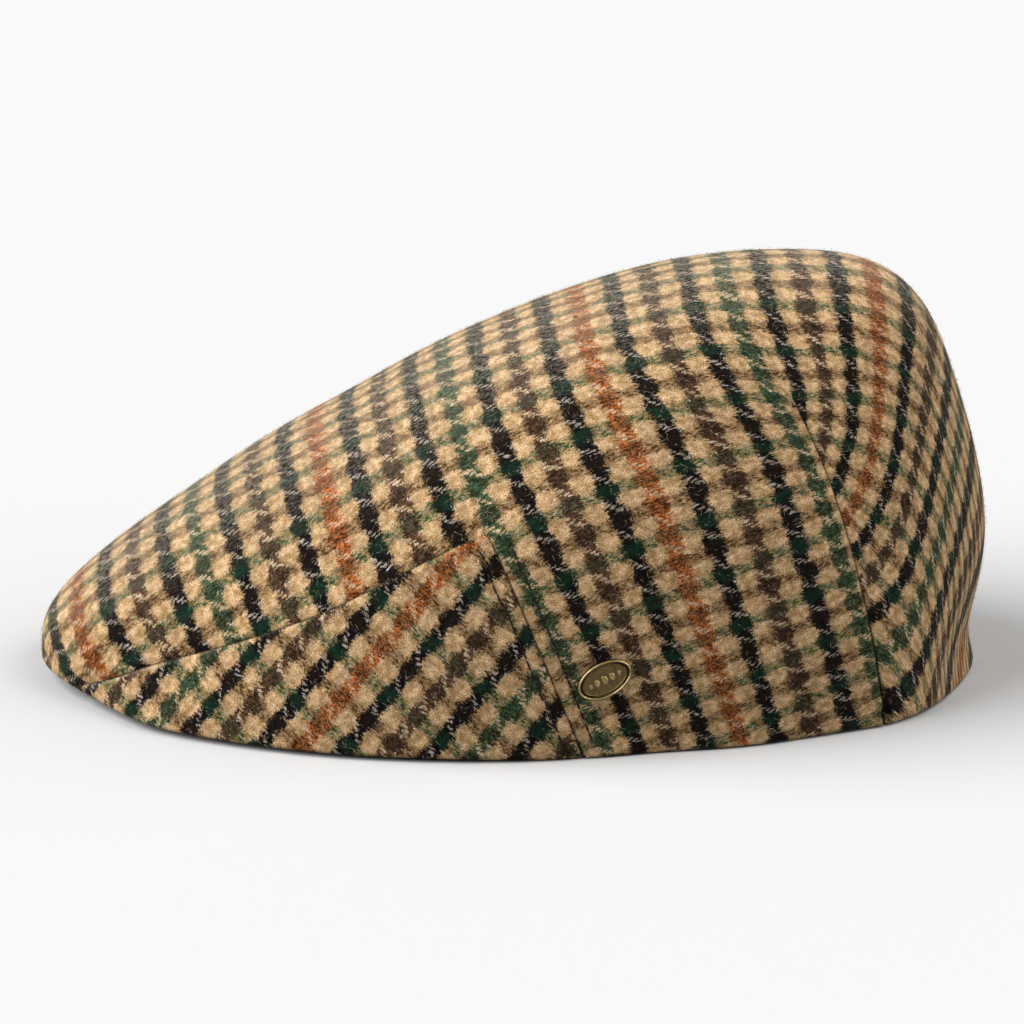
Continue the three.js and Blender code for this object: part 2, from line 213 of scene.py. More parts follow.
# Where two edges are sewn together the cloth turns inwards, so each seam is a soft groove. The hems are
# rolled, the badge presses the cloth in, and at the back corners of the rim it stands out full.
SEAM_DEPTH = 0.6 * MM
SEAM_SOFTNESS = 0.9 * MM
SEAM_CLOSING = 0.25 * MM
SEAM_FINE_REACH = 5 * MM
HEM_LEVEL = 5 * MM            # an open edge below this is a hem
RIM_ROLL = 1.8 * MM           # radius of the hemmed rim
PEAK_ROLL = 1.2 * MM          # and of the cloth's edge round the peak
SIDE_SEAM_FRONT = -9.5 * MM   # the side seams lie between this Y
SIDE_SEAM_BACK = 18 * MM      # and this one
STITCH_ROW = 3.8 * MM         # from the side seam to the rows of stitches along it
STITCH_PULL = 0.7 * MM
STITCH_SOFTNESS = 0.9 * MM
BADGE_PLACE = Vector((85.9, 21.8, 22.4)) * MM
BADGE_PRESS = 1.0 * MM
BADGE_REACH = 8 * MM
WRINKLE_START = Vector((87.5, 27, 13)) * MM
WRINKLE_STEP = Vector((0, 0.5, 0.26)) * MM
WRINKLE_STEPS = 24
WRINKLE_DEPTH = 0.55 * MM
WRINKLE_SOFTNESS = 1.6 * MM
BACK_CORNERS = [Vector((52, 108, 4)) * MM, Vector((-52, 108, 4)) * MM]
BACK_FULLNESS = 4.5 * MM
BACK_REACH = 24 * MM
LOFT = 0.5 * MM               # the brushed face stands this much above the cloth
LOFT_FADE = 14 * MM           # and less close to the rim
UNDULATION = 0.35 * MM
UNDULATION_SIZE = 32 * MM
NAP_HAIRS = 680000            # loose hairs of the nap to a square metre
chance = random.Random(7)


def nearest_in(points):
    tree = KDTree(len(points))
    for number, point in enumerate(points):
        tree.insert(point, number)
    tree.balance()
    return tree


def open_edges(bm, sewn):
    """The edges of a skin that are sewn to another, or those of its hems."""
    edges = [edge for edge in bm.edges if edge.is_boundary]
    return [edge for edge in edges if (max(vert.co.z for vert in edge.verts) > HEM_LEVEL) == sewn]


def edge_points(piece, sewn):
    bm = bmesh.new()
    bm.from_mesh(piece.data)
    on_edge = {vert for edge in open_edges(bm, sewn) for vert in edge.verts}
    points = [vert.co.copy() for vert in bm.verts if vert in on_edge]
    bm.free()
    return points


def refine_edges(piece):
    """Halves the faces along the seams and hems and brings the sewn edges together."""
    near = nearest_in(edge_points(piece, True) + edge_points(piece, False))
    select_faces(piece, lambda face: near.find(face.calc_center_median())[2] < SEAM_FINE_REACH)
    bpy.ops.mesh.subdivide(number_cuts=1)
    bm = bmesh.from_edit_mesh(piece.data)
    moves = {}
    for edge in open_edges(bm, True):
        middle = (edge.verts[0].co + edge.verts[1].co) / 2
        along = (edge.verts[1].co - edge.verts[0].co).normalized()
        out = middle - edge.link_faces[0].calc_center_median()
        out = (out - along * out.dot(along)).normalized()
        for vert in edge.verts:
            moves.setdefault(vert, []).append(out)
    for vert, outs in moves.items():
        vert.co += SEAM_CLOSING * sum(outs, Vector()).normalized()
    bmesh.update_edit_mesh(piece.data)
    bpy.ops.object.mode_set(mode="OBJECT")


def sink_cloth(piece, *depths):
    """Moves each point of a skin inwards by the sum of the depths there."""
    moves = [-sum(depth(vert.co) for depth in depths) * vert.normal for vert in piece.data.vertices]
    for vert, move in zip(piece.data.vertices, moves):
        vert.co += move


def groove(points, depth, softness, distance=0.0):
    near = nearest_in(points)
    return lambda point: depth * math.exp(-(((near.find(point)[2] - distance) / softness) ** 2))


def rolled(points, radius):
    near = nearest_in(points)
    return lambda point: radius - math.sqrt(radius ** 2 - max(radius - near.find(point)[2], 0) ** 2)


def undulation(point):
    return UNDULATION * noise.noise(point / UNDULATION_SIZE) - LOFT * smooth_step(point.z, 0, LOFT_FADE)


def mark_seams(piece):
    """Notes at each point of a skin how close a seam is: one at it, and zero from the fine reach on."""
    near = nearest_in(edge_points(piece, True))
    closeness = piece.data.attributes.new("seam", "FLOAT", "POINT")
    for vert in piece.data.vertices:
        closeness.data[vert.index].value = max(1 - near.find(vert.co)[2] / SEAM_FINE_REACH, 0)


def give_thickness(piece):
    apply_modifier(piece, "SOLIDIFY", thickness=CLOTH_THICKNESS, offset=-1, use_even_offset=False)
    apply_modifier(piece, "BEVEL", width=EDGE_ROUNDING, segments=2, limit_method="ANGLE",
                   angle_limit=EDGE_CORNER)
    for vert in piece.data.vertices:
        vert.co.z = max(vert.co.z, 0)
    bpy.ops.object.shade_smooth()


def weighted_sum(shares, points):
    return sum((share * point for share, point in zip(shares, points)), Vector())


def skin_places(skin):
    """Random places on a skin, evenly spread, each with the normal and the U of the cut there."""
    places = []
    skin.data.calc_loop_triangles()
    verts, cuts = skin.data.vertices, skin.data.uv_layers["cut"].data
    for triangle in skin.data.loop_triangles:
        for number in range(int(triangle.area * NAP_HAIRS + chance.random())):
            a, b = sorted((chance.random(), chance.random()))
            shares = (a, b - a, 1 - b)
            corners = [verts[index] for index in triangle.vertices]
            place = weighted_sum(shares, [vert.co for vert in corners])
            normal = weighted_sum(shares, [vert.normal for vert in corners]).normalized()
            along_warp = sum(share * cuts[loop].uv.x for share, loop in zip(shares, triangle.loops))
            places.append((place, normal, along_warp))
    return places


refine_edges(crown)
crown_seam_points = edge_points(crown, True)
side_seams = [point for point in crown_seam_points if SIDE_SEAM_FRONT < point.y < SIDE_SEAM_BACK]
hem_points = edge_points(crown, False)
wrinkle = [WRINKLE_START + step * WRINKLE_STEP for step in range(WRINKLE_STEPS)]
sink_cloth(crown, undulation, groove(crown_seam_points, SEAM_DEPTH, SEAM_SOFTNESS),
           groove(side_seams, STITCH_PULL, STITCH_SOFTNESS, STITCH_ROW),
           rolled([point for point in hem_points if point.y > 0], RIM_ROLL),
           rolled([point for point in hem_points if point.y < 0], PEAK_ROLL),
           groove([BADGE_PLACE], BADGE_PRESS, BADGE_REACH),
           groove(BACK_CORNERS, -BACK_FULLNESS, BACK_REACH),
           groove(wrinkle, WRINKLE_DEPTH, WRINKLE_SOFTNESS))
nap_places = skin_places(crown)
mark_seams(crown)
give_thickness(crown)

# The cloth is a gun club check in two-and-two twill. The warp runs across the cap in bars of four coloured
# and four camel ends, and the weft runs along it in bars of four picks.
BAR = 4                       # threads in a bar
END = 10.5 * MM / (2 * BAR)   # width of a warp end: a coloured and a camel bar take 10.5 mm
PICK = 20.2 * MM / (4 * BAR)  # width of a weft pick: the four bars of the weft take 20.2 mm
FIRST_DARK_BAR = 54 * MM      # U of the middle of a dark bar that a green one follows
FIRST_GREEN_BAR = -93 * MM    # V of the middle of a green bar
CAMEL = (0.61, 0.405, 0.205)
DARK = (0.005, 0.0045, 0.006)
GREEN = (0.078, 0.122, 0.058)
BROWN = (0.130, 0.070, 0.038)
RUST = (0.50, 0.150, 0.036)
WEFT_GREEN = (0.024, 0.076, 0.029)
WEFT_BROWN = (0.090, 0.041, 0.011)
GREEN_TINT = (0.007, 0.031, 0.017)      # of the coloured weft on the darker warp
BROWN_TINT = (0.013, 0.008, 0.006)
PALE_FLOAT = (0.62, 0.47, 0.29, 1)      # of a camel pick that lies over a coloured end
GREY_FLOAT = (0.46, 0.40, 0.325, 1)     # and over a dark one
DARK_FLECK = (0.010, 0.008, 0.006, 1)
# Painted shade between the fibres and painted highlight on them, and likewise for the clumps, over their
# random tone.
FIBRE_SHADE = (0.46, 0.37, 0.24, 1)      # what the yarn's colour is multiplied by between the fibres
FIBRE_LIT = (1.58, 1.66, 1.90, 1)       # and on them
CLUMP_SHADE = (0.74, 0.67, 0.52, 1)      # likewise of the clumps that the fibres lie in
CLUMP_LIT = (1.27, 1.29, 1.34, 1)
WARP_BARS = [DARK, CAMEL, GREEN, CAMEL, DARK, CAMEL, BROWN, CAMEL,
             DARK, CAMEL, RUST, CAMEL, DARK, CAMEL, BROWN, CAMEL]
WEFT_BARS = [WEFT_GREEN, CAMEL, WEFT_BROWN, CAMEL]
WEFT_TINTS = [GREEN_TINT, CAMEL, BROWN_TINT, CAMEL]
SLOW_WANDER = 2.8             # these four are counted in threads
RAGGED_WANDER = 1.6
TEETH = 4.4                   # reach of the ragged edges of a bar
BAR_SWELL = 0.25
UNDER_SHARE = 0.4             # of the ends that show through from below
SLOW_GRAIN = (170, 170)       # grains of noise to a metre along U and along V
RAGGED_GRAIN = (1150, 1150)
END_TEETH_GRAIN = (650, 2100)
PICK_TEETH_GRAIN = (2100, 1100)
HAIR_GRAIN = (600, 1300)
FLECK_GRAIN = (800, 1300)
FIBRE_GRAIN = 2500
CLUMP_GRAIN = 420
LENS_TAPER = 0.8              # of a pick's float towards its ends
LENS_ROUND = 2.2              # and across it
LENS_GAIN = 0.5               # it is fuller on an end that isn't dark
END_CROWN = 0.6               # height of an end in its middle
END_FALL = 0.5                # and how far it falls to its sides
FIBRE_RELIEF = 1.2
WEAVE_RELIEF = 0.3 * MM

# Of each four, a value between the first two becomes one between the last two.
COLOURED_BY_LIGHT = (0.008, 0.03, 0, 1)
FLOAT_BY_LENS = (-0.05, 0.65, 0, 1)
PALE_BY_LIGHT = (0.2, 0.3, 0.85, 0.1)
SMUDGE_BY_HAIR = (0.4, 0.54, 0.34, 1.2)
SMUDGE_BY_FLOAT = (0, 0.6, 0.6, 1)
SMUDGE_BY_CROSSING = (0, 0.6, 0.5, 1)
TINT_BY_HAIR = (0.4, 0.58, 0.12, 0.85)
YARN_TONE = (0, 1, 0.88, 1.12)
FLECK_SHARE = (0.47, 0.6, 0, 0.8)
FIBRE_SHARE = (0.36, 0.64, 0, 1)
CLUMP_SHARE = (0.35, 0.65, 0, 1)

# Painted sheen: a pale veil of hair over the top and round the ends, where the light catches the nap. Thread
# and painted crease shade darken the seams.
PAINTED_SHEEN = (0.58, 0.50, 0.39, 1)
PAINTED_SHEEN_BY_SIDE = (0.1, 0.6, 0.44, 0)
PAINTED_SHEEN_BY_RISE = (0, 0.7, 0.3, 1)
PAINTED_SHEEN_BY_HAIR = (0.46, 0.58, 0, 1)
SEAM_THREAD_AND_SHADE = (0.030, 0.017, 0.008, 1)
SEAM_LINE = 0.55 * MM         # half its width
SEAM_FILL = 1.5               # more than one, so that the line is full before its middle
SEAM_BY_HAIR = (0.4, 0.5, 0.9, 0.5)


def add_node(tree, kind, inputs=None, **settings):
    """Adds a shader node. An input that is a socket is linked, and any other is a plain value."""
    made = tree.nodes.new("ShaderNode" + kind)
    for setting, value in settings.items():
        setattr(made, setting, value)
    for name, value in (inputs or {}).items():
        if isinstance(value, bpy.types.NodeSocket):
            tree.links.new(value, made.inputs[name])
        else:
            made.inputs[name].default_value = value
    return made


def maths(tree, operation, a, b=0.0, c=0.0):
    return add_node(tree, "Math", {0: a, 1: b, 2: c}, operation=operation).outputs[0]


def spread(tree, value, low, high, to_low, to_high):
    """A value from low to high, brought to the range to_low to to_high."""
    inputs = {"Value": value, "From Min": low, "From Max": high, "To Min": to_low, "To Max": to_high}
    return add_node(tree, "MapRange", inputs).outputs[0]


def mixed(tree, share, a, b, blend="MIX"):
    return add_node(tree, "Mix", {0: share, 6: a, 7: b}, data_type="RGBA", blend_type=blend).outputs[2]


def new_group(name, inputs, outputs):
    tree = bpy.data.node_groups.new(name, "ShaderNodeTree")
    for label, kind in inputs:
        tree.interface.new_socket(label, in_out="INPUT", socket_type="NodeSocket" + kind)
    for label, kind in outputs:
        tree.interface.new_socket(label, in_out="OUTPUT", socket_type="NodeSocket" + kind)
    return tree, tree.nodes.new("NodeGroupInput").outputs, tree.nodes.new("NodeGroupOutput").inputs


def cut_noise(tree, cut, grain, detail, roughness):
    """A noise on the cut, with its own grain along U and along V."""
    place = add_node(tree, "Mapping", {"Vector": cut, "Scale": (*grain, 1)}).outputs[0]
    inputs = {"Vector": place, "Scale": 1, "Detail": detail, "Roughness": roughness}
    return add_node(tree, "TexNoise", inputs).outputs


def bar_colour(tree, thread, bars):
    """The colour of a thread by its number, and whether it is coloured or camel."""
    count = BAR * len(bars)
    place = maths(tree, "FLOORED_MODULO", maths(tree, "ADD", thread, 0.5), count)
    ramp = add_node(tree, "ValToRGB", {"Fac": maths(tree, "DIVIDE", place, count)})
    ramp.color_ramp.interpolation = "CONSTANT"
    stops = ramp.color_ramp.elements
    stops.remove(stops[1])
    for number, colour in enumerate(bars):
        stop = stops.new(number / len(bars)) if number else stops[0]
        stop.color = (*colour, 0 if colour is CAMEL else 1)
    return ramp.outputs["Color"], ramp.outputs["Alpha"]


def make_twill_check():
    outputs = [("Colour", "Color"), ("Height", "Float"), ("Hair", "Float")]
    tree, given, put_out = new_group("twill_check", [("Cut", "Vector")], outputs)
    cut = given["Cut"]
    cut_axes = add_node(tree, "SeparateXYZ", {0: cut}).outputs

    # Milling the cloth has drawn its threads out of line and made their edges ragged.
    def wander(grain, detail):
        field = cut_noise(tree, cut, grain, detail, 0.6)
        return add_node(tree, "SeparateXYZ", {0: field["Color"]}).outputs

    slow, ragged = wander(SLOW_GRAIN, 1), wander(RAGGED_GRAIN, 2)
    end_teeth, pick_teeth = wander(END_TEETH_GRAIN, 2), wander(PICK_TEETH_GRAIN, 2)

    def thread_place(axis, start, width):
        place = maths(tree, "DIVIDE", maths(tree, "SUBTRACT", cut_axes[axis], start), width)
        place = maths(tree, "MULTIPLY_ADD", slow[axis], SLOW_WANDER, place)
        place = maths(tree, "MULTIPLY_ADD", ragged[axis], RAGGED_WANDER, place)
        return maths(tree, "ADD", place, BAR / 2 - (SLOW_WANDER + RAGGED_WANDER) / 2)

    def fuzzed(place, teeth):
        place = maths(tree, "MULTIPLY_ADD", teeth, TEETH, place)
        return maths(tree, "FLOOR", maths(tree, "ADD", place, -TEETH / 2))

    def bar_wave(operation, place):
        from_middle = maths(tree, "ADD", place, -BAR / 2)
        return maths(tree, operation, maths(tree, "MULTIPLY", from_middle, math.pi / BAR))

    end_place = thread_place("X", FIRST_DARK_BAR, END)
    pick_place = thread_place("Y", FIRST_GREEN_BAR, PICK)

    # A bar of the warp looks wider where a coloured bar of the weft crosses it.
    crossing = bar_wave("COSINE", pick_place)
    swell = maths(tree, "MULTIPLY", bar_wave("SINE", end_place), crossing)
    end_place = maths(tree, "MULTIPLY_ADD", swell, -BAR_SWELL, end_place)
    end_colour, end_coloured = bar_colour(tree, fuzzed(end_place, end_teeth["X"]), WARP_BARS)
    under_colour, under_coloured = bar_colour(tree, fuzzed(end_place, end_teeth["Z"]), WARP_BARS)
    end_colour = mixed(tree, UNDER_SHARE, end_colour, under_colour)
    end_coloured = add_node(tree, "Mix", {0: UNDER_SHARE, 2: end_coloured, 3: under_coloured}).outputs[0]
    pick_thread = fuzzed(pick_place, pick_teeth["Y"])
    pick_colour, pick_coloured = bar_colour(tree, pick_thread, WEFT_BARS)
    pick_tint = bar_colour(tree, pick_thread, WEFT_TINTS)[0]
    end_light = add_node(tree, "RGBToBW", {0: end_colour}).outputs[0]
    not_dark = spread(tree, end_light, *COLOURED_BY_LIGHT)

    # Each pick goes over two ends and under two, one end on from the pick before it. Of a camel pick a
    # short lens shows on a coloured end. A coloured pick is a smudge on camel, and tints what is dark.
    end = maths(tree, "FLOOR", end_place)
    pick = maths(tree, "FLOOR", pick_place)
    across_end = maths(tree, "FRACT", end_place)
    across_pick = maths(tree, "MULTIPLY_ADD", maths(tree, "FRACT", pick_place), 2, -1)
    step = maths(tree, "FLOORED_MODULO", maths(tree, "ADD", maths(tree, "ADD", end, pick), 0.5), 4)
    along_float = maths(tree, "ADD", maths(tree, "ADD", maths(tree, "FLOOR", step), across_end), -3)
    lens = maths(tree, "MULTIPLY_ADD", maths(tree, "MULTIPLY", along_float, along_float), -LENS_TAPER, 1)
    lens = maths(tree, "MULTIPLY_ADD", maths(tree, "MULTIPLY", across_pick, across_pick), -LENS_ROUND, lens)
    lens = maths(tree, "MULTIPLY_ADD", not_dark, LENS_GAIN, lens)
    weft_over = maths(tree, "GREATER_THAN", step, 2)
    weft_over = maths(tree, "MULTIPLY", weft_over, spread(tree, lens, *FLOAT_BY_LENS))
    pale = maths(tree, "MULTIPLY", weft_over, spread(tree, end_light, *PALE_BY_LIGHT))
    float_colour = mixed(tree, not_dark, GREY_FLOAT, PALE_FLOAT)
    camel_pick = mixed(tree, pale, end_colour, float_colour)
    hair = cut_noise(tree, cut, HAIR_GRAIN, 3, 0.65)[0]
    tree.links.new(hair, put_out["Hair"])
    smudge = maths(tree, "MULTIPLY", spread(tree, hair, *SMUDGE_BY_HAIR),
                   spread(tree, weft_over, *SMUDGE_BY_FLOAT))
    smudge = maths(tree, "MULTIPLY", smudge, spread(tree, crossing, *SMUDGE_BY_CROSSING))
    on_camel = mixed(tree, smudge, end_colour, pick_colour)
    deepened = mixed(tree, spread(tree, hair, *TINT_BY_HAIR), end_colour, pick_tint)
    on_coloured = mixed(tree, maths(tree, "SUBTRACT", 1, not_dark), deepened, pick_tint, "LIGHTEN")
    coloured_pick = mixed(tree, end_coloured, on_camel, on_coloured)
    colour = mixed(tree, pick_coloured, camel_pick, coloured_pick)

    # Yarns differ a little and fibres more, and the coloured yarns are spun with darker flecks. The fibres
    # and their clumps also carry painted shade between them and painted highlight on top.
    yarn = add_node(tree, "TexWhiteNoise", {"W": end}, noise_dimensions="1D").outputs["Value"]
    colour = mixed(tree, 1, colour, spread(tree, yarn, *YARN_TONE), "MULTIPLY")
    fleck = cut_noise(tree, cut, FLECK_GRAIN, 2, 0.7)[0]
    flecked = maths(tree, "MULTIPLY", spread(tree, fleck, *FLECK_SHARE), maths(tree, "SUBTRACT", 1, pale))
    colour = mixed(tree, maths(tree, "MULTIPLY", flecked, end_coloured), colour, DARK_FLECK)
    fine = {"Vector": cut, "Scale": FIBRE_GRAIN, "Detail": 3, "Roughness": 0.7}
    fibre = add_node(tree, "TexNoise", fine).outputs[0]
    depth = mixed(tree, spread(tree, fibre, *FIBRE_SHARE), FIBRE_SHADE, FIBRE_LIT)
    colour = mixed(tree, 1, colour, depth, "MULTIPLY")
    clump = add_node(tree, "TexNoise", {"Vector": cut, "Scale": CLUMP_GRAIN, "Detail": 1}).outputs[0]
    clump_shading = mixed(tree, spread(tree, clump, *CLUMP_SHARE), CLUMP_SHADE, CLUMP_LIT)
    colour = mixed(tree, 1, colour, clump_shading, "MULTIPLY")
    tree.links.new(colour, put_out["Colour"])

    across_end = maths(tree, "MULTIPLY_ADD", across_end, 2, -1)
    end_round = maths(tree, "MULTIPLY", across_end, across_end)
    end_round = maths(tree, "MULTIPLY_ADD", end_round, -END_FALL, END_CROWN)
    pick_round = maths(tree, "MULTIPLY", maths(tree, "MULTIPLY_ADD", lens, 0.5, 0.5), weft_over)
    yarns = maths(tree, "MAXIMUM", end_round, pick_round)
    height = maths(tree, "MULTIPLY_ADD", fibre, FIBRE_RELIEF, yarns)
    tree.links.new(height, put_out["Height"])
    return tree


twill_check = make_twill_check()


def new_material(name, inputs):
    """A material, its node tree and its shader, with plain values on the shader's own sockets."""
    material = bpy.data.materials.new(name)
    material.use_nodes = True
    shader = material.node_tree.nodes["Principled BSDF"]
    for socket, value in inputs.items():
        shader.inputs[socket].default_value = value
    return material, material.node_tree, shader


def check_cloth(name):
    material, tree, shader = new_material(name, {
        "Roughness": 0.95, "Specular IOR Level": 0.05,
        "Sheen Weight": 0.18, "Sheen Roughness": 0.35, "Sheen Tint": (0.9, 0.8, 0.66, 1)})
    weave = add_node(tree, "Group", node_tree=twill_check)
    tree.links.new(add_node(tree, "UVMap", uv_map="cut").outputs["UV"], weave.inputs["Cut"])
    hair = weave.outputs["Hair"]
    # Painted sheen: the pale veil is strongest on faces that turn up and away from the sides, where light
    # catches the nap.
    normal = add_node(tree, "SeparateXYZ", {0: add_node(tree, "TexCoord").outputs["Normal"]}).outputs
    painted_sheen = spread(tree, maths(tree, "ABSOLUTE", normal["X"]), *PAINTED_SHEEN_BY_SIDE)
    painted_sheen = maths(tree, "MULTIPLY", painted_sheen, spread(tree, normal["Z"], *PAINTED_SHEEN_BY_RISE))
    painted_sheen = maths(tree, "MULTIPLY", painted_sheen, spread(tree, hair, *PAINTED_SHEEN_BY_HAIR))
    colour = mixed(tree, painted_sheen, weave.outputs["Colour"], PAINTED_SHEEN, "SCREEN")
    # The dark line along each seam is thread and painted shade in the crease.
    closeness = add_node(tree, "Attribute", attribute_name="seam").outputs["Fac"]
    seam_thread_and_shade = spread(tree, closeness, 1 - SEAM_LINE / SEAM_FINE_REACH, 1, 0, SEAM_FILL)
    seam_thread_and_shade = maths(tree, "MULTIPLY", seam_thread_and_shade, spread(tree, hair, *SEAM_BY_HAIR))
    tree.links.new(mixed(tree, seam_thread_and_shade, colour, SEAM_THREAD_AND_SHADE), shader.inputs["Base Color"])
    relief = {"Strength": 0.5, "Distance": WEAVE_RELIEF, "Height": weave.outputs["Height"]}
    tree.links.new(add_node(tree, "Bump", relief).outputs["Normal"], shader.inputs["Normal"])
    return material


crown.data.materials.append(check_cloth("checked_wool"))
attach(crown, "root")
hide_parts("crown")


# The side panels: a three-cornered piece of the same cloth on each side, cut on the bias, sewn to the crown
# along the ridge and down the side, and turned under round the edge of the peak.

BIAS_TURN = math.radians(31.7)           # from the panel's warp to its lower edge
BIAS_EASE = 1.125                        # the cloth is eased in, so its check is finer than on the crown
BIAS_SHIFT = Vector((26.1, -2.9)) * MM   # where the check starts at the front corner
FRONT_CORNER = Vector((33.3, -125, 4.2)) * MM
BACK_CORNER = Vector((86.5, 16.5, 0)) * MM


def panel_corner(skin, place):
    return min(skin.data.vertices, key=lambda vert: (vert.co - place).length).index


left_panel = outer_face("side_panel_left", "side_panel_left_cloth", Vector((1, 0, 0)))
make_quads(left_panel)
front_corner = panel_corner(left_panel, FRONT_CORNER)
back_corner = panel_corner(left_panel, BACK_CORNER)
left_panel.data.uv_layers.new(name="cut")
select_faces(left_panel, lambda face: True)
bpy.ops.uv.unwrap(method="ANGLE_BASED", margin=0)
bm = bmesh.from_edit_mesh(left_panel.data)
cut = bm.loops.layers.uv["cut"]
bm.verts.ensure_lookup_table()
front_cut = bm.verts[front_corner].link_loops[0][cut].uv.to_3d()
back_cut = bm.verts[back_corner].link_loops[0][cut].uv.to_3d()
lengths = [(loop.vert.co - loop.link_loop_next.vert.co).length for face in bm.faces for loop in face.loops]
cuts = [(loop[cut].uv - loop.link_loop_next[cut].uv).length for face in bm.faces for loop in face.loops]
edge_turn = math.atan2(back_cut.y - front_cut.y, back_cut.x - front_cut.x)
lay = Matrix.Scale(BIAS_EASE * sum(lengths) / sum(cuts), 3) @ Matrix.Rotation(BIAS_TURN - edge_turn, 3, "Z")
for face in bm.faces:
    for loop in face.loops:
        loop[cut].uv = (lay @ (loop[cut].uv.to_3d() - front_cut)).to_2d() + BIAS_SHIFT
bmesh.update_edit_mesh(left_panel.data)
bpy.ops.object.mode_set(mode="OBJECT")
smooth_skin(left_panel)
refine_edges(left_panel)

select_only(left_panel)
bpy.ops.object.duplicate()
right_panel = bpy.context.object
right_panel.name = right_panel.data.name = "side_panel_right_cloth"
select_faces(right_panel, lambda face: True)
bpy.ops.transform.mirror(orient_type="GLOBAL", constraint_axis=(True, False, False),
                         center_override=(0, 0, 0))
bpy.ops.mesh.flip_normals()
bpy.ops.object.mode_set(mode="OBJECT")

bias_wool = check_cloth("bias_wool")
for panel, side in ((left_panel, "left"), (right_panel, "right")):
    sink_cloth(panel, undulation, groove(edge_points(panel, True), SEAM_DEPTH, SEAM_SOFTNESS),
               rolled(edge_points(panel, False), PEAK_ROLL),
               groove(side_seams, STITCH_PULL, STITCH_SOFTNESS, STITCH_ROW))
    nap_places += skin_places(panel)
    mark_seams(panel)
    give_thickness(panel)
    panel.data.materials.append(bias_wool)
    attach(panel, "root")
    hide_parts("side_panel_" + side)


# The nap: the loose ends of wool that brushing has raised all over the cloth. Each is a fine curved hair
# rooted in the cloth. It leans any way, most often to the back, and is mostly as dark or pale as its bar.

HAIR_LENGTH = (0.9 * MM, 2.2 * MM)
HAIR_WIDTH = 0.06 * MM
BRUSHED = Vector((0, 1, -0.3))    # the way that the cloth was brushed
STRAY = 1.6                   # how far the hairs stray from it
HAIR_RISE = (0.1, 0.75)       # angles from the cloth of a hair's lower half
HAIR_BEND = (-0.9, 0.9)       # angles to the side of its upper half
HAIR_LIFT = (-0.2, 0.5)       # and its rise
HAIR_CAMEL = (0.50, 0.39, 0.26, 1)
HAIR_DARK = (0.05, 0.038, 0.028, 1)
DARK_ON_DARK = 0.76           # the share of hairs that are dark on a dark, green or brown bar
DARK_ON_CAMEL = 0.08          # and on a camel or rust one


def grow_hairs(name, places, colour):
    verts, faces = [], []
    for root, normal in places:
        brushed = BRUSHED + STRAY * Vector([chance.gauss(0, 1) for axis in "xyz"])
        along = (brushed - normal * brushed.dot(normal)).normalized()
        aside = normal.cross(along)
        half = chance.uniform(*HAIR_LENGTH) / 2
        rise = chance.uniform(*HAIR_RISE)
        bend = chance.uniform(*HAIR_BEND)
        middle = root + half * (along * math.cos(rise) + normal * math.sin(rise))
        lift = chance.uniform(*HAIR_LIFT)
        tip = middle + half * (along * math.cos(bend) + aside * math.sin(bend) + normal * lift)
        first = len(verts)
        breadth = aside * HAIR_WIDTH / 2
        verts += [root - breadth, root + breadth, middle + breadth, middle - breadth, tip]
        faces += [(first, first + 1, first + 2, first + 3), (first + 3, first + 2, first + 4)]
    mesh = bpy.data.meshes.new(name)
    mesh.from_pydata(verts, [], faces)
    hairs = bpy.data.objects.new(name, mesh)
    bpy.context.scene.collection.objects.link(hairs)
    finish = {"Base Color": colour, "Roughness": 0.85, "Specular IOR Level": 0.15}
    mesh.materials.append(new_material(name, finish)[0])
    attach(hairs, "root")


def on_dark_bar(along_warp):
    bar = math.floor(((along_warp - FIRST_DARK_BAR) / END + BAR / 2) / BAR) % len(WARP_BARS)
    return WARP_BARS[bar] not in (CAMEL, RUST)


dark_places, camel_places = [], []
for root, normal, along_warp in nap_places:
    if root.z > HAIR_LENGTH[1]:
        dark = chance.random() < (DARK_ON_DARK if on_dark_bar(along_warp) else DARK_ON_CAMEL)
        (dark_places if dark else camel_places).append((root, normal))
grow_hairs("nap_camel", camel_places, HAIR_CAMEL)
grow_hairs("nap_dark", dark_places, HAIR_DARK)


# The topstitching: a row of dark brown thread on each side of the side seams, sewn through the cloth and
# the allowances behind it. Each stitch is a short bead of thread that dips into the cloth at both ends.

STITCH_LENGTH = 3.1 * MM
STITCH_PITCH = 3.2 * MM
THREAD = 0.66 * MM
STITCH_FLATNESS = 0.8
STITCH_RISE = 0.12 * MM
STITCH_DIP = 0.12 * MM
SEAM_SPAN = 6                 # points each way that give a seam's direction
THREAD_BROWN = (0.018, 0.010, 0.006, 1)

bpy.ops.object.select_all(action="DESELECT")
bpy.ops.mesh.primitive_uv_sphere_add(segments=8, ring_count=6, radius=0.5, rotation=(0, math.pi / 2, 0))
stitch = bpy.context.object
bpy.ops.object.transform_apply(location=False, rotation=True, scale=False)
bpy.ops.object.mode_set(mode="EDIT")
bpy.ops.transform.resize(value=(STITCH_LENGTH, THREAD, STITCH_FLATNESS * THREAD))
bpy.ops.object.mode_set(mode="OBJECT")
for vert in stitch.data.vertices:
    vert.co.z -= STITCH_DIP * (2 * vert.co.x / STITCH_LENGTH) ** 2
bpy.ops.object.shade_smooth()
finish = {"Base Color": THREAD_BROWN, "Roughness": 0.7, "Specular IOR Level": 0.3}
stitch.data.materials.append(new_material("thread", finish)[0])


def joined(pieces):
    """Joins pieces to the first of them, with its place in its mesh."""
    select_only(pieces[0])
    for piece in pieces:
        piece.select_set(True)
    bpy.ops.object.join()
    bpy.ops.object.transform_apply()
    return bpy.context.object


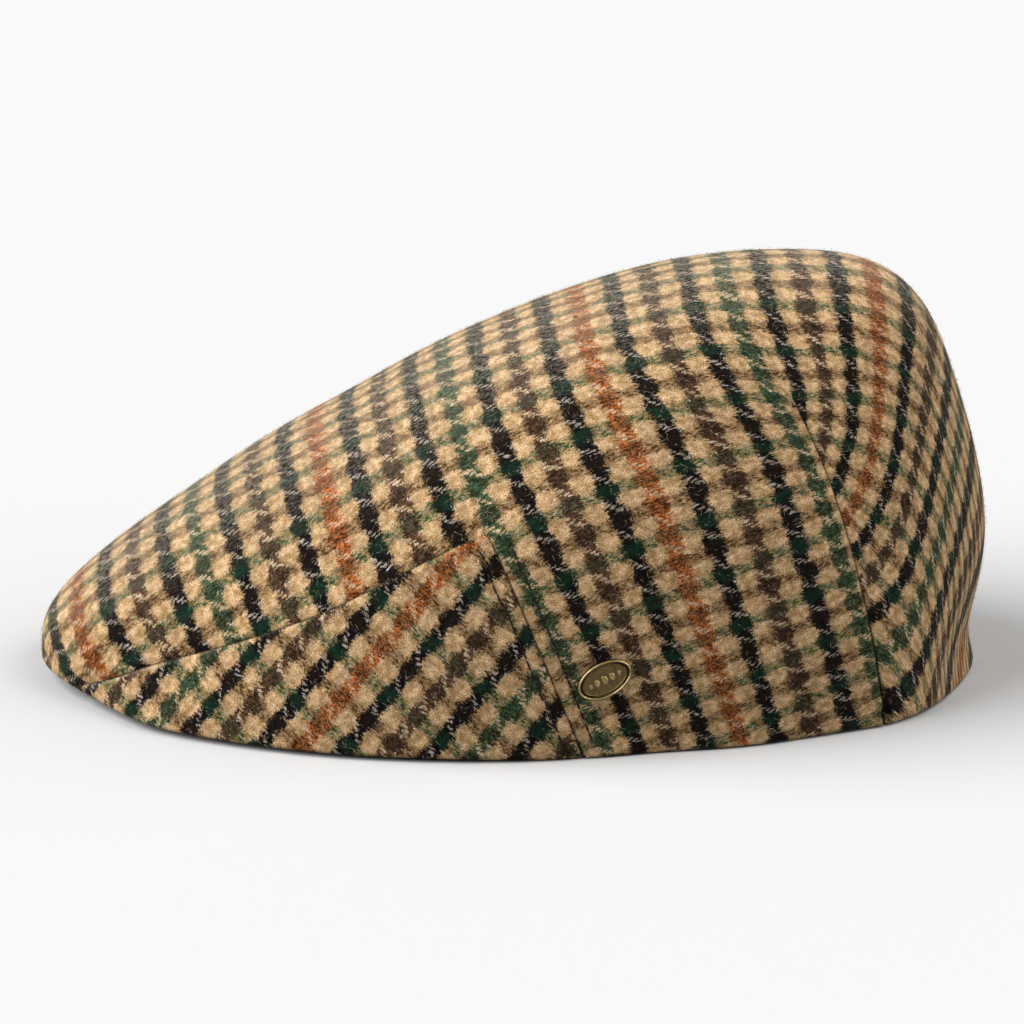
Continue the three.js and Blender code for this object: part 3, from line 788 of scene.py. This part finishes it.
def stitch_row(name, cloth, seam, forwards):
    """Copies of the stitch along a seam, on the cloth before it or behind it."""
    surface = BVHTree.FromPolygons([vert.co for vert in cloth.data.vertices],
                                   [face.vertices for face in cloth.data.polygons])
    seam = sorted(seam, key=lambda point: -point.z)
    row, way = [], 0
    for before, point in zip(seam, seam[1:]):
        step = point - before
        way += step.length
        if step.length == 0 or way < STITCH_PITCH:
            continue
        way -= STITCH_PITCH
        number = seam.index(point)
        along = seam[min(number + SEAM_SPAN, len(seam) - 1)] - seam[max(number - SEAM_SPAN, 0)]
        along.normalize()
        beside = point + Vector((0, -STITCH_ROW if forwards else STITCH_ROW, 0))
        beside.x += CLOTH_THICKNESS if point.x > 0 else -CLOTH_THICKNESS
        outwards = surface.find_nearest(beside)[1]
        across = along.cross(outwards).normalized()
        if (across.y < 0) != forwards:
            across = -across
        place = surface.ray_cast(point + STITCH_ROW * across + 2 * CLOTH_THICKNESS * outwards, -outwards)[0]
        if place is None or place.z < STITCH_LENGTH:
            continue
        along = (along - outwards * along.dot(outwards)).normalized()
        select_only(stitch)
        bpy.ops.object.duplicate()
        copy = bpy.context.object
        copy.matrix_world = Matrix((along, outwards.cross(along), outwards)).transposed().to_4x4()
        copy.matrix_world.translation = place + STITCH_RISE * outwards
        row.append(copy)
    piece = joined(row)
    piece.name = piece.data.name = name
    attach(piece, "root")


for panel, side, sign in ((left_panel, "left", 1), (right_panel, "right", -1)):
    seam = [point for point in side_seams if point.x * sign > 0]
    stitch_row("stitches_behind_seam_" + side, crown, seam, False)
    stitch_row("stitches_before_seam_" + side, panel, seam, True)
bpy.data.objects.remove(stitch)


# The peak: a stiff crescent of board under the front of the cap, covered with dark brown cloth. Its edge
# is rounded where the cloth turns over it.

PEAK_ROUNDING = 0.9 * MM
PEAK_CORNER = math.radians(50)    # an edge sharper than this is rounded
PEAK_SMOOTH = math.radians(40)
PEAK_RELIEF = 0.2 * MM
RIB_SCALE = 420
PEAK_FLECK_GRAIN = 1600
PEAK_BROWN = (0.045, 0.028, 0.018, 1)
PEAK_BROWN_PALE = (0.075, 0.05, 0.033, 1)

peak = copy_of_solid("peak", "peak_covered_board")
make_quads(peak)
apply_modifier(peak, "BEVEL", width=PEAK_ROUNDING, segments=3, limit_method="ANGLE", angle_limit=PEAK_CORNER)
bpy.ops.object.shade_smooth_by_angle(angle=PEAK_SMOOTH)

finish = {"Roughness": 0.9, "Specular IOR Level": 0.2}
peak_cloth, tree, shader = new_material("covered_board", finish)
place = add_node(tree, "TexCoord").outputs["Object"]
ribs = add_node(tree, "TexWave", {"Vector": place, "Scale": RIB_SCALE, "Distortion": 1.5, "Detail": 1},
                bands_direction="DIAGONAL").outputs["Fac"]
fleck = add_node(tree, "TexNoise", {"Vector": place, "Scale": PEAK_FLECK_GRAIN, "Detail": 3}).outputs[0]
brown = mixed(tree, maths(tree, "MULTIPLY", ribs, fleck), PEAK_BROWN, PEAK_BROWN_PALE)
tree.links.new(brown, shader.inputs["Base Color"])
relief = {"Strength": 0.4, "Distance": PEAK_RELIEF, "Height": maths(tree, "ADD", ribs, fleck)}
tree.links.new(add_node(tree, "Bump", relief).outputs["Normal"], shader.inputs["Normal"])
peak.data.materials.append(peak_cloth)
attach(peak, "root")
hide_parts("peak")


# The badge: a small oval of cast brass with a raised border, a sunk field and a row of plain studs. It is
# darkened all over and polished bright where it stands out, and it is pinned flat on the cloth.

BADGE_LENGTH = 15.6 * MM
BADGE_WIDTH = 9.8 * MM
BADGE_EDGE = 0.75 * MM        # height of the wall round it
BADGE_STEPS = [(0.16, 0.24), (0.16, 0.12), (0.16, 0.0), (0.14, -0.12), (0.16, -0.34), (0.42, 0.0),
               (0.10, 0.16), (0.12, 0.0), (0.10, -0.16), (1.2, 0.06)]    # inset and rise of each ring, in mm
BADGE_ROUNDING = 0.09 * MM
BADGE_CORNER = math.radians(25)   # an edge sharper than this is rounded
BADGE_SMOOTH = math.radians(35)
BACK_FACING = -0.8            # faces with a normal's X below this are the badge's back
TOP_FACING = 0.9
STUDS = [(-4.2, 0.70), (-2.2, 0.92), (0, 1.02), (2.2, 0.92), (4.2, 0.70)]    # place and radius in mm
STUD_SHAPE = (1, 1.4, 0.6)
FIELD_REACH = 0.3             # the field reaches at least this far, as a share of the badge's length
FIELD_EDGE = 0.4              # and at most this far, as a share of its length and width
FIELD_FLOOR = 0.1 * MM        # the field lies above this, and the badge's back below
WEAR_START = 0.05 * MM        # above the field, where the polish starts
WEAR_FULL = 0.5 * MM
BRASS_RELIEF = 0.05 * MM
BRASS_GRAIN = 3500
STAIN_GRAIN = 900
WEAR_BY_STAIN = (0.3, 0.6, 0.6, 1)
ROUGHNESS_BY_WEAR = (0, 1, 0.5, 0.3)
BRASS_WORN = (0.78, 0.57, 0.25, 1)
BRASS_DARK = (0.045, 0.032, 0.014, 1)
FIELD_WEAR = 0.34

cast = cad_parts["badge"]
corners = [cast.matrix_world @ vert.co for vert in cast.data.vertices]
back_faces = [face for face in cast.data.polygons if face.normal.x < BACK_FACING]
outward = -sum((face.normal * face.area for face in back_faces), Vector())
outward = (cast.matrix_world.to_3x3() @ outward).normalized()
tip = max(corners, key=lambda corner: (corner - corners[0]).length)
far_tip = max(corners, key=lambda corner: (corner - tip).length)
long_axis = tip - far_tip if tip.y > far_tip.y else far_tip - tip
long_axis = (long_axis - outward * long_axis.dot(outward)).normalized()
seat = sum(corners, Vector()) / len(corners)
seat += outward * (min((corner - seat).dot(outward) for corner in corners))

bpy.ops.object.select_all(action="DESELECT")
bpy.ops.mesh.primitive_cylinder_add(vertices=64, radius=0.5, depth=1, location=(0, 0, 0))
badge = bpy.context.object
badge.name = badge.data.name = "badge_brass"
bpy.ops.object.mode_set(mode="EDIT")
bpy.ops.mesh.select_all(action="SELECT")
bpy.ops.transform.resize(value=(BADGE_LENGTH, BADGE_WIDTH, BADGE_EDGE))
bpy.ops.transform.translate(value=(0, 0, BADGE_EDGE / 2))
bpy.ops.object.mode_set(mode="OBJECT")
select_faces(badge, lambda face: face.normal.z > TOP_FACING)
for inset, rise in BADGE_STEPS:
    bpy.ops.mesh.inset(thickness=inset * MM, depth=rise * MM)
bpy.ops.object.mode_set(mode="OBJECT")
apply_modifier(badge, "BEVEL", width=BADGE_ROUNDING, segments=2, limit_method="ANGLE",
               angle_limit=BADGE_CORNER)
inner = [vert.co for vert in badge.data.vertices if abs(vert.co.x) < FIELD_REACH * BADGE_LENGTH]
field = min(point.z for point in inner if point.z > FIELD_FLOOR)
plate_points = len(badge.data.vertices)
studs = []
for place, radius in STUDS:
    bpy.ops.mesh.primitive_uv_sphere_add(segments=16, ring_count=10, radius=radius * MM,
                                         location=(place * MM, 0, field))
    bpy.ops.transform.resize(value=STUD_SHAPE)
    studs.append(bpy.context.object)
joined([badge] + studs)
bpy.ops.object.shade_smooth_by_angle(angle=BADGE_SMOOTH)

wear = badge.data.attributes.new("wear", "FLOAT", "POINT")
for vert in badge.data.vertices:
    from_middle = math.hypot(vert.co.x / BADGE_LENGTH, vert.co.y / BADGE_WIDTH)
    worn = smooth_step(vert.co.z, field + WEAR_START, field + WEAR_FULL)
    on_field = vert.index < plate_points and from_middle < FIELD_EDGE
    wear.data[vert.index].value = max(worn, FIELD_WEAR) if on_field else worn
turn = Matrix((long_axis, outward.cross(long_axis), outward)).transposed().to_4x4()
badge.matrix_world = Matrix.Translation(seat) @ turn
bpy.ops.object.transform_apply()

brass, tree, shader = new_material("antique_brass", {"Metallic": 1})
worn = add_node(tree, "Attribute", attribute_name="wear").outputs["Fac"]
place = add_node(tree, "TexCoord").outputs["Object"]
stain = add_node(tree, "TexNoise", {"Vector": place, "Scale": STAIN_GRAIN, "Detail": 3}).outputs[0]
worn = maths(tree, "MULTIPLY", worn, spread(tree, stain, *WEAR_BY_STAIN))
tree.links.new(mixed(tree, worn, BRASS_DARK, BRASS_WORN), shader.inputs["Base Color"])
tree.links.new(spread(tree, worn, *ROUGHNESS_BY_WEAR), shader.inputs["Roughness"])
grain = add_node(tree, "TexNoise", {"Vector": place, "Scale": BRASS_GRAIN, "Detail": 1}).outputs[0]
relief = {"Strength": 0.5, "Distance": BRASS_RELIEF, "Height": grain}
tree.links.new(add_node(tree, "Bump", relief).outputs["Normal"], shader.inputs["Normal"])
badge.data.materials.append(brass)
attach(badge, "root")
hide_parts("badge")


# The studio: a plain pale floor, a soft light from above the front and a weaker one from behind, and the
# camera on the wearer's left, a little above the cap.

FLOOR_SIZE = 8
FLOOR_SEEN = (0.77, 0.77, 0.77, 1)
FLOOR_BOUNCE = (0.28, 0.28, 0.28, 1)      # of the light that it throws back on the cap
ROOM_LIGHT = 0.22
LIGHT_SPREAD = math.radians(60)
KEY_LIGHT = (3.55, (-0.07, 0.79, -0.61))  # energy and direction
BACK_LIGHT = (1.6, (-0.06, -0.75, -0.62))
CAMERA_PLACE = (0.9592, -0.0335, 0.3249)
CAMERA_AIM = (0, 0, 0.0442)

bpy.ops.object.select_all(action="DESELECT")
bpy.ops.mesh.primitive_plane_add(size=FLOOR_SIZE, location=(0, 0, 0))
floor = bpy.context.object
floor.name = "floor"
finish = {"Roughness": 0.9, "Specular IOR Level": 0}
floor_paint, tree, shader = new_material("pale_floor", finish)
seen = add_node(tree, "LightPath").outputs["Is Camera Ray"]
tree.links.new(mixed(tree, seen, FLOOR_BOUNCE, FLOOR_SEEN), shader.inputs["Base Color"])
floor.data.materials.append(floor_paint)

room = bpy.data.worlds.new("room")
room.use_nodes = True
room.node_tree.nodes["Background"].inputs["Color"].default_value = (1, 1, 1, 1)
room.node_tree.nodes["Background"].inputs["Strength"].default_value = ROOM_LIGHT
bpy.context.scene.world = room


def soft_light(name, energy, direction):
    bpy.ops.object.light_add(type="SUN", location=(0, 0, 1))
    light = bpy.context.object
    light.name = name
    light.data.energy = energy
    light.data.angle = LIGHT_SPREAD
    light.rotation_euler = Vector(direction).to_track_quat("-Z", "Y").to_euler()


soft_light("key_light", *KEY_LIGHT)
soft_light("back_light", *BACK_LIGHT)

bpy.ops.object.camera_add()
camera = bpy.context.object
camera.name = "camera"
camera.data.lens = 122
camera.data.sensor_width = 36
camera.location = CAMERA_PLACE
camera.rotation_euler = (Vector(CAMERA_AIM) - camera.location).to_track_quat("-Z", "Y").to_euler()
bpy.context.scene.camera = camera
bpy.context.scene.view_settings.view_transform = "Standard"
